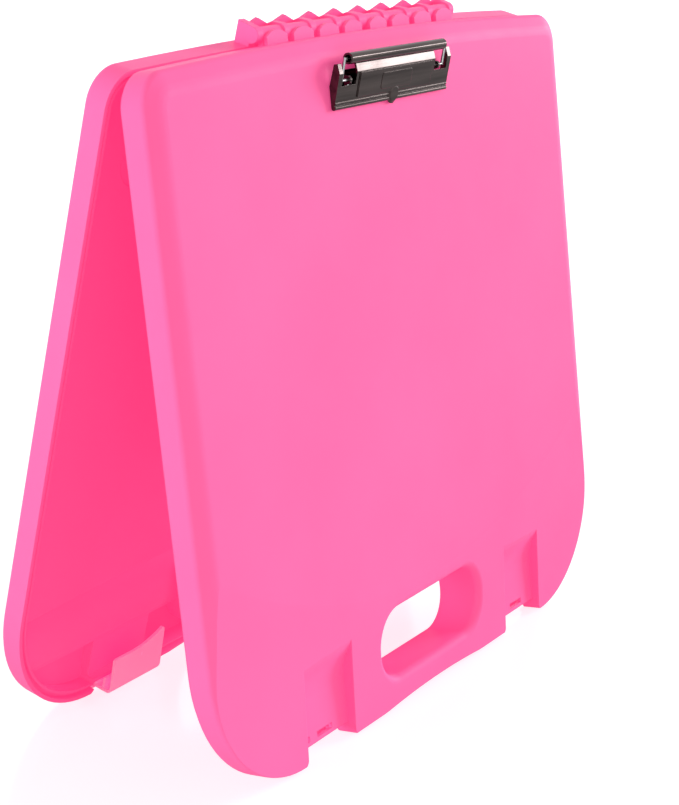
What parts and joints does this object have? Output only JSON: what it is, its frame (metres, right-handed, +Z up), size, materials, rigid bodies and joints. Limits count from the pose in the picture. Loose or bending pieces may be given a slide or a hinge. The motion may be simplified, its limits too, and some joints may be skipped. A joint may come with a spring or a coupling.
{
  "type": "storage clipboard case",
  "caption": "Hinged moulded storage clipboard case standing open as a portable lap desk, with carry handle, snap latches and a low-profile paper clip.",
  "frame": {"origin": "centre of the bounding box on the floor plane, midway between the two standing edges and under the hinge", "axes": "+X along the hinge, +Y from the writing half towards the storage half behind it, +Z up"},
  "size_m": [0.394, 0.15, 0.3591],
  "materials": {
    "case_plastic": "satin, fine moulded grain",
    "latch_plastic": "smooth, slightly translucent",
    "clip_metal": "dark bright plate",
    "wire_metal": "bright drawn wire",
    "rod_metal": "plain drawn",
    "rivet_metal": "bright, tumbled"
  },
  "bodies": {
    "storage_half": {"back_shell": "case_plastic", "hinge_rod_left": "rod_metal", "hinge_rod_right": "rod_metal"},
    "writing_half": {"lid_shell": "case_plastic", "clip_base_plate": "clip_metal", "clip_rivet_left": "rivet_metal", "clip_rivet_right": "rivet_metal", "clip_burr_left": "rivet_metal", "clip_burr_right": "rivet_metal"},
    "clip": {"clip_jaw": "clip_metal", "clip_spring_wire": "wire_metal"},
    "latch_a": {"latch_left": "latch_plastic"},
    "latch_b": {"latch_right": "latch_plastic"}
  },
  "joints": [
    {"name": "case_hinge", "type": "hinge", "parent": "storage_half", "child": "writing_half", "pos_m": [0, 0, 0.35232], "axis": [-1, 0, 0], "range_deg": [-20.4, 129.6]},
    {"name": "clip_pivot", "type": "hinge", "parent": "writing_half", "child": "clip", "pos_m": [0, -0.02397, 0.3292], "axis": [-1, 0, 0], "range_deg": [0, 20], "stiffness_Nm_per_rad": 0.4, "springref_deg": -20.05},
    {"name": "latch_left_pivot", "type": "hinge", "parent": "storage_half", "child": "latch_a", "pos_m": [-0.1035, 0.06602, 0.00461], "axis": [1, 0, 0], "range_deg": [0, 110]},
    {"name": "latch_right_pivot", "type": "hinge", "parent": "storage_half", "child": "latch_b", "pos_m": [0.1035, 0.06602, 0.00461], "axis": [1, 0, 0], "range_deg": [0, 110]}
  ]
}
